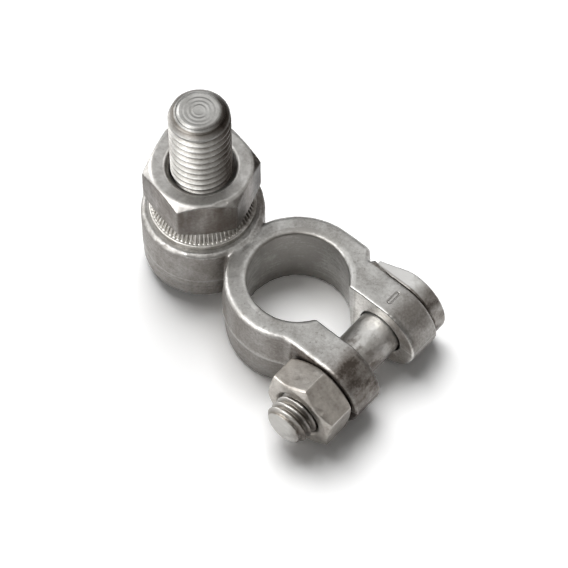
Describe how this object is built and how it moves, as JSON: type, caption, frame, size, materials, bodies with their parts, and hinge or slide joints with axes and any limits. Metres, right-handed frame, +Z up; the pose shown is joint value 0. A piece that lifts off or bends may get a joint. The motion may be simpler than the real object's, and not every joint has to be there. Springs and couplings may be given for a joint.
{
  "type": "battery terminal clamp",
  "caption": "Cast split-ring clamp for a tapered battery post, tightened by a cross bolt through two ears, with a threaded stud terminal, ribbed lock washer and nut on a side boss.",
  "frame": {"origin": "post bore's axis in the plane of the clamp's underside", "axes": "+X from the bore towards the ears, +Y from the clamp nut towards the clamp bolt's head, +Z up along the post and the stud"},
  "size_m": [0.0519, 0.033, 0.0415],
  "materials": {
    "casting": "tin plated, satin",
    "stud": "tin plated",
    "washer": "tin plated",
    "nut": "tin plated, smooth flats",
    "bolt": "tin plated, bright"
  },
  "bodies": {
    "clamp": {"clamp_body": "casting", "stud": "stud"},
    "washer": {"lock_washer": "washer"},
    "top_nut": {"stud_nut": "nut"},
    "cross_bolt": {"clamp_bolt": "bolt"},
    "side_nut": {"clamp_nut": "nut"}
  },
  "joints": [
    {"name": "washer_lift", "type": "slide", "parent": "clamp", "child": "washer", "axis": [0, 0, 1], "range_m": [0, 0.021]},
    {"name": "stud_nut_turn", "type": "hinge", "parent": "washer", "child": "top_nut", "pos_m": [-0.0206, 0, 0.0183], "axis": [0, 0, 1], "range_deg": [0, 5040]},
    {"name": "bolt_slide", "type": "slide", "parent": "clamp", "child": "cross_bolt", "axis": [0, 1, 0], "range_m": [0, 0.0075]},
    {"name": "clamp_nut_turn", "type": "hinge", "parent": "clamp", "child": "side_nut", "pos_m": [0.014, -0.0102, 0.0071], "axis": [0, -1, 0], "range_deg": [0, 2160]}
  ],
  "couplings": [
    {"joint": "washer_lift", "follows": "stud_nut_turn", "m_per_rad": 0.00023873},
    {"joint": "bolt_slide", "follows": "clamp_nut_turn", "m_per_rad": 0.00019894}
  ]
}
